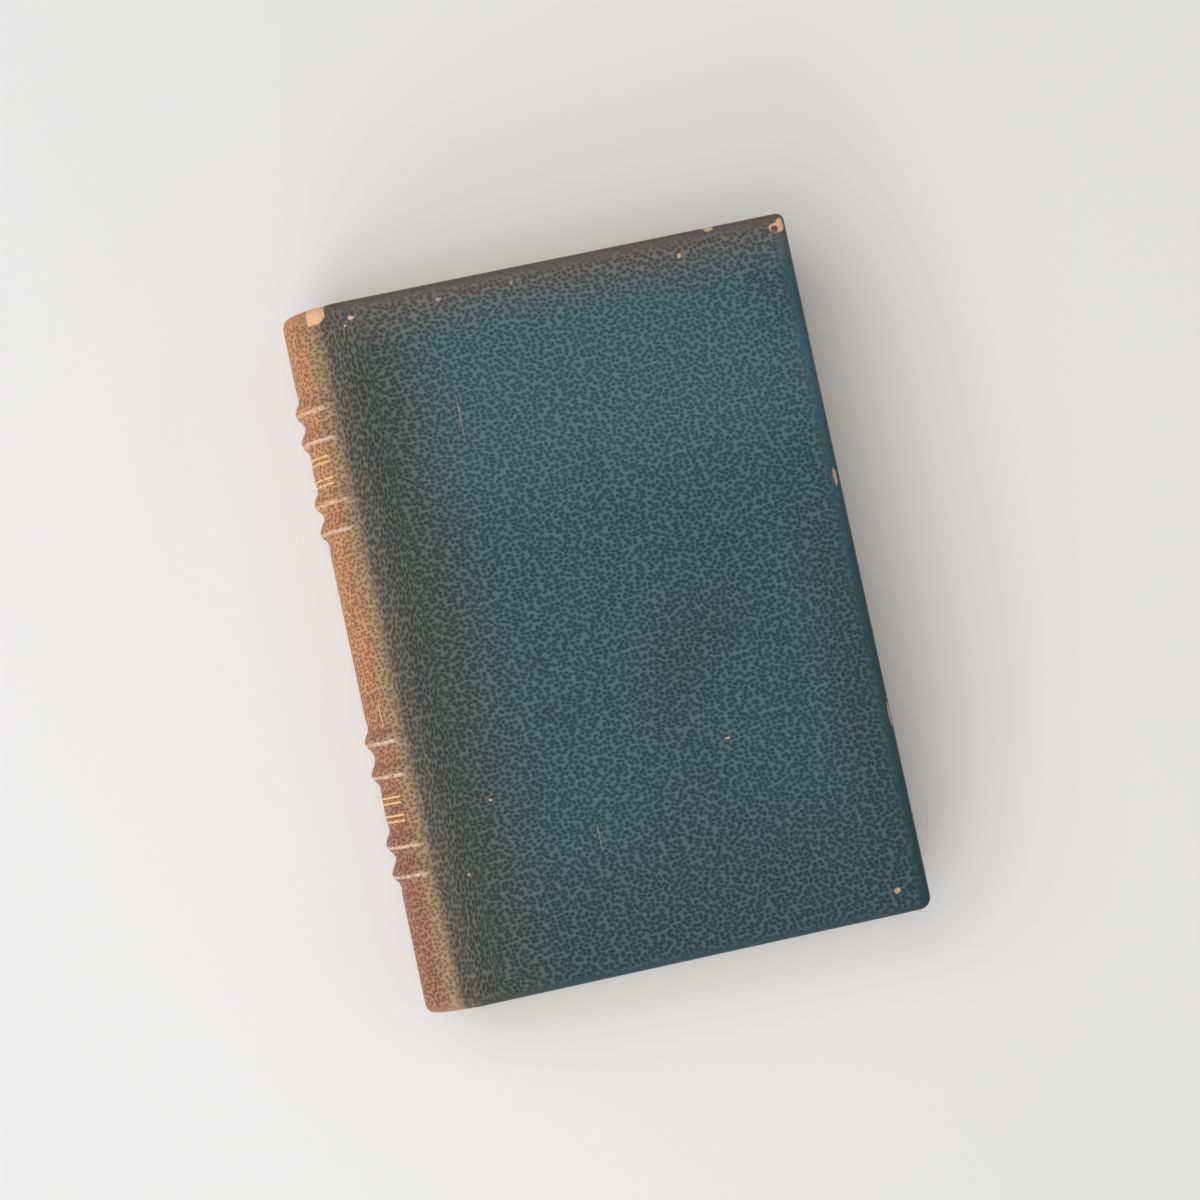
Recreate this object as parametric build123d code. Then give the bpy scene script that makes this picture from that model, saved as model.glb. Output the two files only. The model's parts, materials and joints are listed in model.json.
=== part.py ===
"""Antique book in full goatskin: rounded spine with eight raised bands, two laced boards that open.

Frame: X runs from the spine to the fore-edge, Y from the tail to the head, Z up through the thickness.
The book lies on its back cover, with the origin under the middle of its box. Sizes are in millimetres.
"""

from build123d import *
import math
import os

# Overall sizes
cover_height = 200.0        # tail to head, over the boards
cover_width = 132.0         # hinge line to fore-edge, over one board
book_thickness = 36.0       # outer face to outer face
spine_round = 12.4          # how far the spine leather stands out past the hinge line

# Boards and their leather
leather = 0.8               # goatskin on the outside
board = 2.8                 # millboard
turn_in = 0.5               # goatskin pared thin where it is folded inside
turn_in_width = 12.0        # border of leather inside the cover
head_corner_radius = 2.2    # fore-edge corner at the head
tail_corner_radius = 3.5    # fore-edge corner at the tail
bevel_width = 3.0           # soft slope round the board's outer edges
bevel_drop = 0.5
joint_slope_width = 2.4     # slope of the board down into the joint
leather_edge_radius = 0.25  # rounding where the leather turns the edge

# Text block and endpapers
square = 3.0                # how far the boards reach past the leaves
flyleaf = 0.2
fore_edge_hollow = 4.0      # depth of the concave fore-edge
shoulder_reach = 0.6        # how far the backed shoulder leans back from the hinge line
lining = 0.9                # mull and paper glued over the folds
lining_inset = 1.0          # lining stops this far short of the leaves' ends
endband_radius = 1.0

# Spine
joint_step = 1.2            # the spine leather lies this far below the board's face at the hinge
head_cap_radius = 1.7
tail_cap_radius = 1.2
cap_reach = 1.0             # how far the cap folds in over the endband
band_places = [0.134, 0.177, 0.265, 0.306, 0.609, 0.656, 0.756, 0.798]  # share of the height, from the head
band_rise = 1.5             # band crest above the spine leather
band_width = 6.4            # across the foot of a band
flank_share = 0.68          # band height reached a quarter of its width from the crest
cord_width = 4.0            # cord under the leather of a band
cord_inset = 0.75           # leather over the cord's crest
band_fade_angle = 60.0      # from the middle of the spine to where a band sinks in
cord_end_angle = 50.0       # from the middle of the spine to the cord's end
sunk_foot = 0.12            # how far a band's flank runs on below the surface it rises from

# Clearances
paste_line = 0.05           # paste between pieces that are glued together
hinge_gap = 0.3             # bare strip each side of the hinge line
swing_gap = 0.3             # between the closed cover and the flyleaf

# Places that follow from these sizes
overall_width = cover_width + spine_round + band_rise
hinge_x = spine_round + band_rise - overall_width / 2
fore_edge_x = overall_width / 2
mid_z = book_thickness / 2
cover_thickness = leather + board + turn_in
leaves_bottom = cover_thickness + swing_gap + flyleaf
leaves_top = book_thickness - leaves_bottom
leaves_end = cover_height / 2 - square
leaves_fore_edge = fore_edge_x - square

half_chord = mid_z - joint_step
spine_radius = (spine_round ** 2 + half_chord ** 2) / (2 * spine_round)
spine_axis_x = hinge_x - spine_round + spine_radius
leather_inner = spine_radius - leather
lining_outer = leather_inner - paste_line
lining_inner = lining_outer - lining
leaves_radius = lining_inner - paste_line

# A band turns about its own axis, nearer the spine's surface, so that it sinks in at its ends
crest_radius = spine_radius + band_rise
fade = math.radians(band_fade_angle)
band_axis_shift = (crest_radius ** 2 - spine_radius ** 2) / (
    2 * (crest_radius - spine_radius * math.cos(fade))
)
band_axis_x = spine_axis_x - band_axis_shift

BIG = 2 * (cover_height + cover_width)  # larger than the book in every direction


def span(x0, x1, y0, y1, z0, z1):
    """A box from its low and high sides."""
    middle = ((x0 + x1) / 2, (y0 + y1) / 2, (z0 + z1) / 2)
    return Pos(*middle) * Box(x1 - x0, y1 - y0, z1 - z0)


def behind(x):
    """All space on the spine side of x."""
    return span(-BIG, x, -BIG, BIG, -BIG, BIG)


def turned(outline, axis_x):
    """A solid of revolution about a line along Y; outline points are (distance from the axis, y)."""
    profile = Plane.XY.offset(mid_z) * Pos(axis_x, 0) * mirror(outline, Plane.YZ)
    return revolve(profile, Axis((axis_x, 0, mid_z), (0, 1, 0)), 360)


def closed(*edges):
    return make_face(Wire(edges))


def disc(radius, y0, y1):
    """A plain cylinder about the spine's axis."""
    return turned(make_face(Polyline((0, y0), (radius, y0), (radius, y1), (0, y1), close=True)), spine_axis_x)


# Spine

def band_y(place):
    return cover_height / 2 - place * cover_height


def bell(y, width, foot, crest):
    """A disc whose rim swells to a soft rounded crest, about the bands' own axis."""
    low = (foot, y - width / 2)
    high = (foot, y + width / 2)
    flank = foot + flank_share * (crest - foot)
    top = Spline(
        low, (flank, y - width / 4), (crest, y), (flank, y + width / 4), high, tangents=[(0, 1), (0, 1)]
    )
    outline = closed(top, Line(high, (0, high[1])), Line((0, high[1]), (0, low[1])), Line((0, low[1]), low))
    return turned(outline, band_axis_x)


def spine_body():
    """The spine's outer form, solid to its axis, with rounded ends."""
    head = cover_height / 2
    tail = -head
    r = spine_radius
    outline = closed(
        Line((0, tail), (r - tail_cap_radius, tail)),
        RadiusArc((r - tail_cap_radius, tail), (r, tail + tail_cap_radius), -tail_cap_radius),
        Line((r, tail + tail_cap_radius), (r, head - head_cap_radius)),
        RadiusArc((r, head - head_cap_radius), (r - head_cap_radius, head), -head_cap_radius),
        Line((r - head_cap_radius, head), (0, head)),
        Line((0, head), (0, tail)),
    )
    return turned(outline, spine_axis_x)


def spine_bore():
    """What the spine leather wraps: the lining, then the endbands, then the open end inside the cap."""
    end = cover_height / 2
    lined = leaves_end - lining_inset + paste_line
    under_cap = end - leather
    bore = disc(leather_inner, -lined, lined)
    bore += disc(leaves_radius + paste_line, -under_cap, under_cap)
    bore += disc(leaves_radius - cap_reach, -end - 1, end + 1)
    return bore


def make_spine_leather():
    foot = spine_radius - band_axis_shift - sunk_foot
    crest = spine_radius - band_axis_shift + band_rise
    cover = spine_body()
    for place in band_places:
        cover += bell(band_y(place), band_width, foot, crest)
    cover &= behind(hinge_x - hinge_gap)
    cover -= spine_bore()
    pocket_foot = leather_inner - band_axis_shift - sunk_foot
    for place in band_places:
        cover -= bell(band_y(place), cord_width + 2 * paste_line, pocket_foot, crest - cord_inset)
    return cover


def make_band_cord(place):
    """The cord that lifts the leather into a band. It lies on the lining."""
    foot = leather_inner - band_axis_shift - sunk_foot - paste_line
    crest = spine_radius - band_axis_shift + band_rise - cord_inset - paste_line
    y = band_y(place)
    cord = bell(y, cord_width, foot, crest) - disc(lining_outer + paste_line, y - band_width, y + band_width)
    return cord & behind(spine_axis_x - spine_radius * math.cos(math.radians(cord_end_angle)))


def make_spine_lining():
    end = leaves_end - lining_inset
    return (disc(lining_outer, -end, end) - disc(lining_inner, -end - 1, end + 1)) & behind(hinge_x - lining)


def make_endband(side):
    """A silk-wound core on the leaves' edge, under the cap; side is 1 at the head and -1 at the tail."""
    y = side * (leaves_end + endband_radius + paste_line)
    ring = turned(Pos(leaves_radius - endband_radius, y) * Circle(endband_radius), spine_axis_x)
    return ring & behind(hinge_x - shoulder_reach)


# Leaves

def make_text_block():
    tip_x = hinge_x - shoulder_reach
    tip_rise = math.sqrt(leaves_radius ** 2 - (spine_axis_x - tip_x) ** 2)
    back = (spine_axis_x - leaves_radius, mid_z)
    hollow = (leaves_fore_edge - fore_edge_hollow, mid_z)
    outline = closed(
        Line((hinge_x, leaves_bottom), (leaves_fore_edge, leaves_bottom)),
        ThreePointArc((leaves_fore_edge, leaves_bottom), hollow, (leaves_fore_edge, leaves_top)),
        Line((leaves_fore_edge, leaves_top), (hinge_x, leaves_top)),
        Line((hinge_x, leaves_top), (tip_x, mid_z + tip_rise)),
        ThreePointArc((tip_x, mid_z + tip_rise), back, (tip_x, mid_z - tip_rise)),
        Line((tip_x, mid_z - tip_rise), (hinge_x, leaves_bottom)),
    )
    return extrude(Plane.XZ * outline, amount=leaves_end, both=True)


def make_front_flyleaf():
    return span(hinge_x + hinge_gap, leaves_fore_edge, -leaves_end, leaves_end, leaves_top, leaves_top + flyleaf)


# Covers: the front one is drawn, and the back one is its mirror image

def slab(inset, z0, z1):
    """A board-shaped plate, inset on three sides, with rounded fore-edge corners and a top that slopes off."""
    low_x = hinge_x + hinge_gap
    high_x = fore_edge_x - inset
    half = cover_height / 2 - inset
    plate = span(low_x, high_x, -half, half, z0, z1)
    corners = plate.edges().filter_by(Axis.Z).sort_by(Axis.X)[2:].sort_by(Axis.Y)
    plate = fillet(corners[1], head_corner_radius - inset)
    corners = plate.edges().filter_by(Axis.Z).sort_by(Axis.Y)[:2].sort_by(Axis.X)
    plate = fillet(corners[1], tail_corner_radius - inset)
    slope_z = z1 - bevel_drop
    along = Polyline(
        (low_x, z0), (high_x, z0), (high_x, slope_z), (high_x - bevel_width, z1),
        (low_x + joint_slope_width, z1), (low_x, z1 - joint_step), close=True,
    )
    across = Polyline(
        (-half, z0), (half, z0), (half, slope_z), (half - bevel_width, z1),
        (bevel_width - half, z1), (-half, slope_z), close=True,
    )
    plate &= extrude(Plane.XZ * make_face(along), amount=BIG, both=True)
    return plate & extrude(Plane.YZ * make_face(across), amount=BIG, both=True)


def inner_rim(plate):
    """Edges of a plate's lower face, apart from the one at the hinge."""
    return plate.faces().sort_by(Axis.Z)[0].edges().sort_by(Axis.X)[1:]


def make_front_board():
    top = book_thickness - leather
    return slab(leather, top - board, top)


def make_front_leather():
    top = book_thickness
    skin = slab(0, top - cover_thickness, top)
    skin = fillet(inner_rim(skin), leather_edge_radius)
    core = slab(leather - paste_line, top - leather - board, top - leather + paste_line)
    window = span(
        hinge_x, fore_edge_x - turn_in_width,
        turn_in_width - cover_height / 2, cover_height / 2 - turn_in_width,
        top - cover_thickness - 1, top - leather - board + 1,
    )
    return skin - core - window


def make_front_pastedown():
    """The paper inside the cover, with the card that brings it level with the turn-ins."""
    bottom = book_thickness - cover_thickness
    edge = turn_in_width + paste_line
    return span(
        hinge_x + hinge_gap, fore_edge_x - edge,
        edge - cover_height / 2, cover_height / 2 - edge,
        bottom, bottom + turn_in - paste_line,
    )


def for_the_back(front):
    return mirror(front, Plane.XY.offset(mid_z))


def make_parts():
    front_board = make_front_board()
    front_leather = make_front_leather()
    front_pastedown = make_front_pastedown()
    front_flyleaf = make_front_flyleaf()
    parts = {
        "text_block": make_text_block(),
        "spine_lining": make_spine_lining(),
        "head_endband": make_endband(1),
        "tail_endband": make_endband(-1),
        "spine_leather": make_spine_leather(),
        "front_flyleaf": front_flyleaf,
        "back_flyleaf": for_the_back(front_flyleaf),
        "front_board": front_board,
        "back_board": for_the_back(front_board),
        "front_leather": front_leather,
        "back_leather": for_the_back(front_leather),
        "front_pastedown": front_pastedown,
        "back_pastedown": for_the_back(front_pastedown),
    }
    for number, place in enumerate(band_places, start=1):
        parts[f"raised_band_{number}"] = make_band_cord(place)
    return parts


os.makedirs("parts", exist_ok=True)
for name, solid in make_parts().items():
    solid.label = name
    export_step(solid, f"parts/{name}.step")
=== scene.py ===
"""The antique leather book's looks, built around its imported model.

The goatskin is cut flat and laid over the boards and the spine as a binder lays it. The leaves, endbands
and endpapers are modelled, and every surface has a procedural finish. Lengths are in metres, apart from
those in millimetres in a list that says so.
"""

import json
import math

import bmesh
import bpy
from bpy.props import FloatProperty, FloatVectorProperty, IntProperty, PointerProperty
from bpy.types import Operator, Panel, PropertyGroup
from mathutils import Matrix, Vector, noise


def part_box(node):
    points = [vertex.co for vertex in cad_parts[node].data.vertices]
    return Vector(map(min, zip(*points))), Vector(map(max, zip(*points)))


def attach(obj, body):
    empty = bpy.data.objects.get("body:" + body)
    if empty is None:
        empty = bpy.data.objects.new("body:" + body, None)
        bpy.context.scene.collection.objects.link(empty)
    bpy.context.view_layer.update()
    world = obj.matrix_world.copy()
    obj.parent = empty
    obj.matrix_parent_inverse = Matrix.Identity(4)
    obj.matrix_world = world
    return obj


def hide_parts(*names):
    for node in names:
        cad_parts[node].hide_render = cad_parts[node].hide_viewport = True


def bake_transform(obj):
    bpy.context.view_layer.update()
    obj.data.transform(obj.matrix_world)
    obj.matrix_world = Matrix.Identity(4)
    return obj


bl_info = {
    "name": "Antique leather book",
    "version": (1, 0, 0),
    "blender": (4, 5, 0),
    "location": "View3D > Sidebar > Book",
    "description": "A full goatskin binding with raised bands, laid over its packed model",
    "category": "Object",
}

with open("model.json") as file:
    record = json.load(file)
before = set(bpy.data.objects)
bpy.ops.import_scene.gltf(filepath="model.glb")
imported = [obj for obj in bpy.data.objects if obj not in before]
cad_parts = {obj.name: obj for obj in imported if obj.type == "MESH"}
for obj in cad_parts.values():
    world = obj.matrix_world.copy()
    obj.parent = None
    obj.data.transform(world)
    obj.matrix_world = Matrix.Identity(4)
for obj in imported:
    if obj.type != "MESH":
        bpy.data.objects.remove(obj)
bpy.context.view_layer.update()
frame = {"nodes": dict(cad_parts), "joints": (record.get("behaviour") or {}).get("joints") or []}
MM = 0.001

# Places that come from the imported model
COVER_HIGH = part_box("front_leather")[1]
LEAVES_LOW, LEAVES_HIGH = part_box("text_block")
SPINE_BACK_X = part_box("spine_leather")[0].x
PASTEDOWN_LOW, PASTEDOWN_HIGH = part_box("front_pastedown")
FLYLEAF_LOW, FLYLEAF_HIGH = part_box("front_flyleaf")
ENDBAND_LOW, ENDBAND_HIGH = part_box("head_endband")
TOP = COVER_HIGH.z
HEAD = COVER_HIGH.y
FORE_EDGE = COVER_HIGH.x
MIDDLE = TOP / 2
HINGE_X = next(
    joint["pos_m"][0] for joint in frame["joints"] if joint["name"] == "front_cover_hinge"
)
CORDS = [name for name in frame["nodes"] if name.startswith("raised_band_")]
BANDS = sorted(sum(corner.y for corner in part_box(name)) / 2 for name in CORDS)


def screen_colour(red, green, blue):
    """A linear colour from the 0 to 255 values that a screen shows."""
    return tuple(pow((value / 255 + 0.055) / 1.055, 2.4) for value in (red, green, blue))


def smooth(low, high, value):
    """0 below low, 1 above high, and an even S between."""
    share = min(max((value - low) / (high - low), 0.0), 1.0)
    return share * share * (3 - 2 * share)


def mixed(a, b, share):
    return a + (b - a) * share


# What a user may change

def length(name, description, millimetres):
    return FloatProperty(
        name=name, description=description, default=millimetres * MM,
        unit="LENGTH", subtype="DISTANCE",
    )


def colour(name, description, red, green, blue):
    return FloatVectorProperty(
        name=name, description=description, default=screen_colour(red, green, blue),
        size=3, min=0, max=1, subtype="COLOR",
    )


class BookSizes(PropertyGroup):
    joint_step: length("Joint step", "How far the leather drops from the board's face to the hinge line", 1.2)
    band_rise: length("Band rise", "Height of a raised band's crest over the spine", 1.5)
    band_width: length("Band width", "Width across the foot of a raised band", 6.4)
    band_fade: FloatProperty(
        name="Band fade", description="Angle from the spine's middle to where a band sinks in",
        default=math.radians(70), unit="ROTATION", subtype="ANGLE",
    )
    head_corner: length("Head corner", "Radius of the board's fore-edge corner at the head", 2.2)
    tail_corner: length("Tail corner", "Radius of the board's fore-edge corner at the tail", 3.5)
    unevenness: length("Unevenness", "How far the leather swells and dips over the boards", 0.12)
    crease_depth: length("Crease depth", "Extra depth of the joint's crease at the tail", 0.72)
    leaf_raggedness: length("Leaf raggedness", "How far the trimmed leaves stand in and out", 0.14)
    winding_turns: IntProperty(
        name="Winding turns", description="Turns of silk along an endband", default=74, min=10
    )


class HideFinish(PropertyGroup):
    teal: colour("Teal", "Goatskin dye over most of the boards", 46, 82, 92)
    # Light teal is painted light: the upper part of the boards is made lighter, where the light falls more.
    teal_painted_light: colour("Light teal", "Dye in the upper part of the boards", 58, 94, 104)
    # Deep teal is the dye of the real darker blotches, and also painted shade towards the tail and by the
    # fore-edge.
    teal_deep_and_painted_shade: colour("Deep teal", "Dye in the darker blotches, at the tail and by the fore-edge", 34, 64, 72)
    sunned: colour("Sunned", "Boards along the head edge, browned by light", 98, 90, 84)
    joint_brown: colour("Joint brown", "Leather in the joint", 84, 76, 62)
    joint_olive: colour("Joint olive", "Leather of the board beside the joint", 62, 70, 62)
    buff: colour("Buff", "Leather where the spine turns into the joint", 158, 126, 92)
    tan: colour("Tan", "Spine leather, faded by light", 196, 132, 84)
    # Rubbed is real wear on the rims and specks, and the lines on the bands' tail slopes, which are partly
    # painted highlight.
    tan_red: colour("Red tan", "Spine leather near the tail", 160, 100, 72)
    rubbed_and_highlight: colour("Rubbed", "Rubbed leather on crests and rims", 222, 190, 164)
    raw: colour("Raw", "Bare skin where the dyed face is torn away", 234, 182, 144)
    gilt: colour("Gilt", "Gold rules on the spine", 240, 200, 128)
    grain_pitch: length("Grain pitch", "Distance from one grain pit to the next", 1.3)


class PaperFinish(PropertyGroup):
    leaf: colour("Leaves", "Edges of the leaves", 214, 196, 160)
    leaf_dark: colour("Dark leaves", "Dust and browning in the edges of the leaves", 158, 130, 92)
    endpaper: colour("Endpaper", "Paper inside the covers", 212, 196, 166)
    foxing: colour("Foxing", "Brown spots in the paper", 164, 122, 78)
    silk_light: colour("Light silk", "First silk of the endbands", 206, 186, 146)
    silk_dark: colour("Dark silk", "Second silk of the endbands", 126, 42, 36)


class StageSettings(PropertyGroup):
    floor: colour("Floor", "The pale floor", 243, 243, 244)
    window_power: FloatProperty(
        name="Window", description="Power of the high soft light, in watts", default=54.0, min=0
    )
    side_power: FloatProperty(
        name="Side window", description="Power of the low light at the tail, in watts", default=14.0, min=0
    )
    sky: FloatProperty(
        name="Sky", description="Strength of the even light from all round", default=0.34, min=0
    )


class BookSettings(PropertyGroup):
    sizes: PointerProperty(type=BookSizes)
    hide: PointerProperty(type=HideFinish)
    paper: PointerProperty(type=PaperFinish)
    stage: PointerProperty(type=StageSettings)


def settings():
    return bpy.context.scene.antique_book


# Shader maths

class Wire:
    """An output socket that can stand in a sum."""

    def __init__(self, recipe, socket):
        self.recipe = recipe
        self.socket = socket

    def maths(self, operation, *values):
        return self.recipe.node("ShaderNodeMath", {"operation": operation}, dict(enumerate(values)))

    def __add__(self, other):
        return self.maths("ADD", self, other)

    def __radd__(self, other):
        return self.maths("ADD", other, self)

    def __sub__(self, other):
        return self.maths("SUBTRACT", self, other)

    def __rsub__(self, other):
        return self.maths("SUBTRACT", other, self)

    def __mul__(self, other):
        return self.maths("MULTIPLY", self, other)

    def __rmul__(self, other):
        return self.maths("MULTIPLY", other, self)

    def __truediv__(self, other):
        return self.maths("DIVIDE", self, other)

    def __abs__(self):
        return self.maths("ABSOLUTE", self)

    def least(self, other):
        return self.maths("MINIMUM", self, other)

    def most(self, other):
        return self.maths("MAXIMUM", self, other)

    def rise(self, low, high):
        """0 where this is below low and 1 above high; low may be the larger, and then it falls."""
        limits = {"From Min": min(low, high), "From Max": max(low, high)}
        ends = {"To Min": float(low > high), "To Max": float(low <= high)}
        return self.recipe.node(
            "ShaderNodeMapRange", {"interpolation_type": "SMOOTHSTEP"}, {"Value": self, **limits, **ends}
        )


class Recipe:
    """A procedural material: its nodes and its shader, whose plain sockets are given by name."""

    def __init__(self, name, **plain):
        self.material = bpy.data.materials.new(name)
        self.material.use_nodes = True
        self.nodes = self.material.node_tree.nodes
        self.shader = self.nodes["Principled BSDF"]
        for socket, value in plain.items():
            self.shader.inputs[socket.replace("_", " ")].default_value = value

    def node(self, kind, made=None, values=None, output=0):
        """Adds a node; made holds its settings, values its sockets' values or wires."""
        node = self.nodes.new(kind)
        for name, setting in (made or {}).items():
            setattr(node, name, setting)
        for name, value in (values or {}).items():
            self.join(node.inputs[name], value)
        return Wire(self, node.outputs[output])

    def join(self, socket, value):
        if isinstance(value, Wire):
            self.material.node_tree.links.new(value.socket, socket)
        elif hasattr(value, "__len__"):
            socket.default_value = list(value) + [1.0] * (len(socket.default_value) - len(value))
        else:
            socket.default_value = value

    def mix(self, share, a, b, blend="MIX"):
        return self.node(
            "ShaderNodeMix", {"data_type": "RGBA", "blend_type": blend},
            {0: share, 6: a, 7: b}, output=2,
        )

    def noise(self, place, scale, detail=2.0, roughness=0.5):
        return self.node(
            "ShaderNodeTexNoise", None,
            {"Vector": place, "Scale": scale, "Detail": detail, "Roughness": roughness},
        )

    def cells(self, place, scale, randomness=1.0, dimensions="3D"):
        """Distance to the nearest of many scattered points."""
        return self.node(
            "ShaderNodeTexVoronoi", {"voronoi_dimensions": dimensions},
            {"Vector": place, "Scale": scale, "Randomness": randomness},
        )

    def place(self):
        """The piece's own coordinates, as it lies in its mesh."""
        return self.node("ShaderNodeTexCoord", output="Object")

    def flat_map(self, name):
        return self.node("ShaderNodeUVMap", {"uv_map": name})

    def split(self, vector):
        node = self.node("ShaderNodeSeparateXYZ", None, {0: vector}).socket.node
        return [Wire(self, socket) for socket in node.outputs]

    def stretched(self, vector, scale=(1, 1, 1), turn=0.0, shift=(0, 0, 0)):
        return self.node(
            "ShaderNodeMapping", None,
            {"Vector": vector, "Scale": scale, "Rotation": (0, 0, turn), "Location": shift},
        )

    def warped(self, vector, amount, scale):
        """The vector, pushed about by noise."""
        push = self.node(
            "ShaderNodeTexNoise", None, {"Vector": vector, "Scale": scale, "Detail": 1.0}, output="Color"
        )
        kind = "ShaderNodeVectorMath"
        centred = self.node(kind, {"operation": "SUBTRACT"}, {0: push, 1: (0.5, 0.5, 0.5)})
        small = self.node(kind, {"operation": "SCALE"}, {0: centred, "Scale": amount})
        return self.node(kind, {"operation": "ADD"}, {0: vector, 1: small})

    def relief(self, height, distance, strength):
        return self.node(
            "ShaderNodeBump", None, {"Height": height, "Distance": distance, "Strength": strength}
        )

    def finish(self, **fed):
        for socket, value in fed.items():
            self.join(self.shader.inputs[socket.replace("_", " ")], value)
        return self.material


# The goatskin, flat: u runs from the front hinge line to the fore-edge, v from the tail to the head

def spine_radius():
    sizes = settings().sizes
    bulge = HINGE_X - SPINE_BACK_X - sizes.band_rise
    half_chord = MIDDLE - sizes.joint_step
    return (bulge ** 2 + half_chord ** 2) / (2 * bulge)


def spine_axis_x():
    return SPINE_BACK_X + settings().sizes.band_rise + spine_radius()


def hinge_angle():
    return math.asin((MIDDLE - settings().sizes.joint_step) / spine_radius())


def girth():
    """Length of leather round the spine, from hinge line to hinge line."""
    return 2 * hinge_angle() * spine_radius()


# Shape of a raised band, in shares of half its foot: it leans towards the tail, whose side is the steeper
BAND_LEAN = 0.12
BAND_HEAD_REACH = 1.05
BAND_TAIL_REACH = 0.8
BAND_ROUNDNESS = 1.35
BAND_FADE_SPAN = math.radians(22)
PINCH_REACH = 0.9
PINCH_SHARE = 0.16

# The joint's groove
CREASE_MIDDLE_DEPTH = 0.28 * MM
CREASE_HEAD_SHARE = 0.6
CREASE_SHIFT = 0.25 * MM
CREASE_WIDTH = 1.0 * MM
CREASE_TAIL_WIDTH = 1.25 * MM
LEATHER_OVER_SLOPE = 0.68 * MM


def band_lift(angle, y):
    """Height of the raised bands at a place on the spine."""
    sizes = settings().sizes
    fade = sizes.band_fade
    rise = sizes.band_rise * (1 - smooth(fade - BAND_FADE_SPAN, fade, abs(angle)))
    lift = 0.0
    for band in BANDS:
        share = (y - band) / (sizes.band_width / 2) + BAND_LEAN
        reach = BAND_HEAD_REACH if share > 0 else BAND_TAIL_REACH
        beyond = (abs(share) - reach) / PINCH_REACH
        if beyond < 0:
            lift += rise * (1 - (share / reach) ** 2) ** BAND_ROUNDNESS
        elif beyond < 1:
            lift -= PINCH_SHARE * rise * math.sin(beyond * math.pi) ** 2
    return lift


def crease(u, y):
    """Depth of the groove pressed along the hinge line, deepest at the tail."""
    tail = 1 - smooth(3 * MM, 36 * MM, y + HEAD)
    head = 1 - smooth(2 * MM, 10 * MM, HEAD - y)
    share = max(tail, CREASE_HEAD_SHARE * head)
    depth = mixed(CREASE_MIDDLE_DEPTH, settings().sizes.crease_depth, share)
    width = mixed(CREASE_WIDTH, CREASE_TAIL_WIDTH, tail)
    return depth * math.exp(-(((u + CREASE_SHIFT) / width) ** 2))


def board_face(u, y):
    """Height of the leather over the board, which slopes down to the hinge line."""
    step = settings().sizes.joint_step
    face = TOP - step * (1 - smooth(0.1 * MM, 2.9 * MM, u)) - crease(u, y)
    over_board = TOP - step - LEATHER_OVER_SLOPE + u / 2
    return max(face, min(over_board, TOP))


def swell(u, y):
    """Slow rise and fall of leather over board."""
    place = Vector((u * 22, y * 22, 3.1))
    fine = Vector((u * 90, y * 90, 7.7))
    return (noise.noise(place) + 0.3 * noise.noise(fine) - 0.6) * settings().sizes.unevenness


def section(u, y):
    """Where the hide's face lies, as x and z, before its edges are turned."""
    if u <= 0:
        angle = hinge_angle() + u / spine_radius()
        radius = spine_radius() + band_lift(angle, y) - crease(u, y)
        return spine_axis_x() - radius * math.cos(angle), MIDDLE + radius * math.sin(angle)
    inland = smooth(3 * MM, 12 * MM, u)
    return HINGE_X + u, board_face(u, y) + min(inland * swell(u, y), 0.0)


def facing(u):
    """Direction out of the hide's face, as x and z."""
    if u <= -1 * MM:
        angle = hinge_angle() + u / spine_radius()
    else:
        angle = mixed(hinge_angle(), math.pi / 2, smooth(-1 * MM, 1.5 * MM, u))
    return -math.cos(angle), math.sin(angle)


# How the hide is turned over an edge: (distance in from the edge, depth below the face), in millimetres
BOARD_TURN = [
    (3.6, 0), (2.5, 0.07), (1.6, 0.2), (0.95, 0.42), (0.45, 0.78), (0.14, 1.25), (0, 1.9), (0, 2.7),
    (0.1, 3.35), (0.35, 3.85), (0.8, 4.1), (2, 4.1), (6, 4.1), (11, 4.1), (12, 4.05), (12.1, 3.7),
]
CAP_TURN = [
    (3.6, 0), (2.7, 0.03), (1.9, 0.14), (1.25, 0.34), (0.75, 0.66), (0.36, 1.08), (0.12, 1.55), (0.0, 2.0),
    (0.05, 2.4), (0.22, 2.65), (0.5, 2.72), (0.78, 2.6), (0.85, 2.2), (0.95, 1.85), (1.7, 1.72), (3.6, 1.7),
]
TURNS = len(BOARD_TURN) - 1
FLAT_EDGE = BOARD_TURN[0][0] * MM


def run_lengths(turn):
    """Length of leather from the first point of a turned edge to each of its points."""
    runs = [0.0]
    for (inset, depth), (next_inset, next_depth) in zip(turn, turn[1:]):
        runs.append(runs[-1] + math.hypot(next_inset - inset, next_depth - depth) * MM)
    return runs


BOARD_RUNS = run_lengths(BOARD_TURN)
CAP_RUNS = run_lengths(CAP_TURN)


# Spacing of the hide's rows and columns
BAND_ROWS_REACH = 5 * MM
BAND_ROW = 0.36 * MM
CLOSEST_ROWS = 0.2 * MM
PLAIN_ROW = 1.9 * MM
SPINE_COLUMN = 0.95 * MM
SHOULDER_COLUMN = 0.5 * MM
JOINT_COLUMN = 0.28 * MM
JOINT_END = 4 * MM
BOARD_COLUMN = 2.6 * MM


def spaced(low, high, step):
    """Even steps from low to high, both included."""
    count = max(int(round((high - low) / step)), 1)
    return [mixed(low, high, index / count) for index in range(count + 1)]


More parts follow.
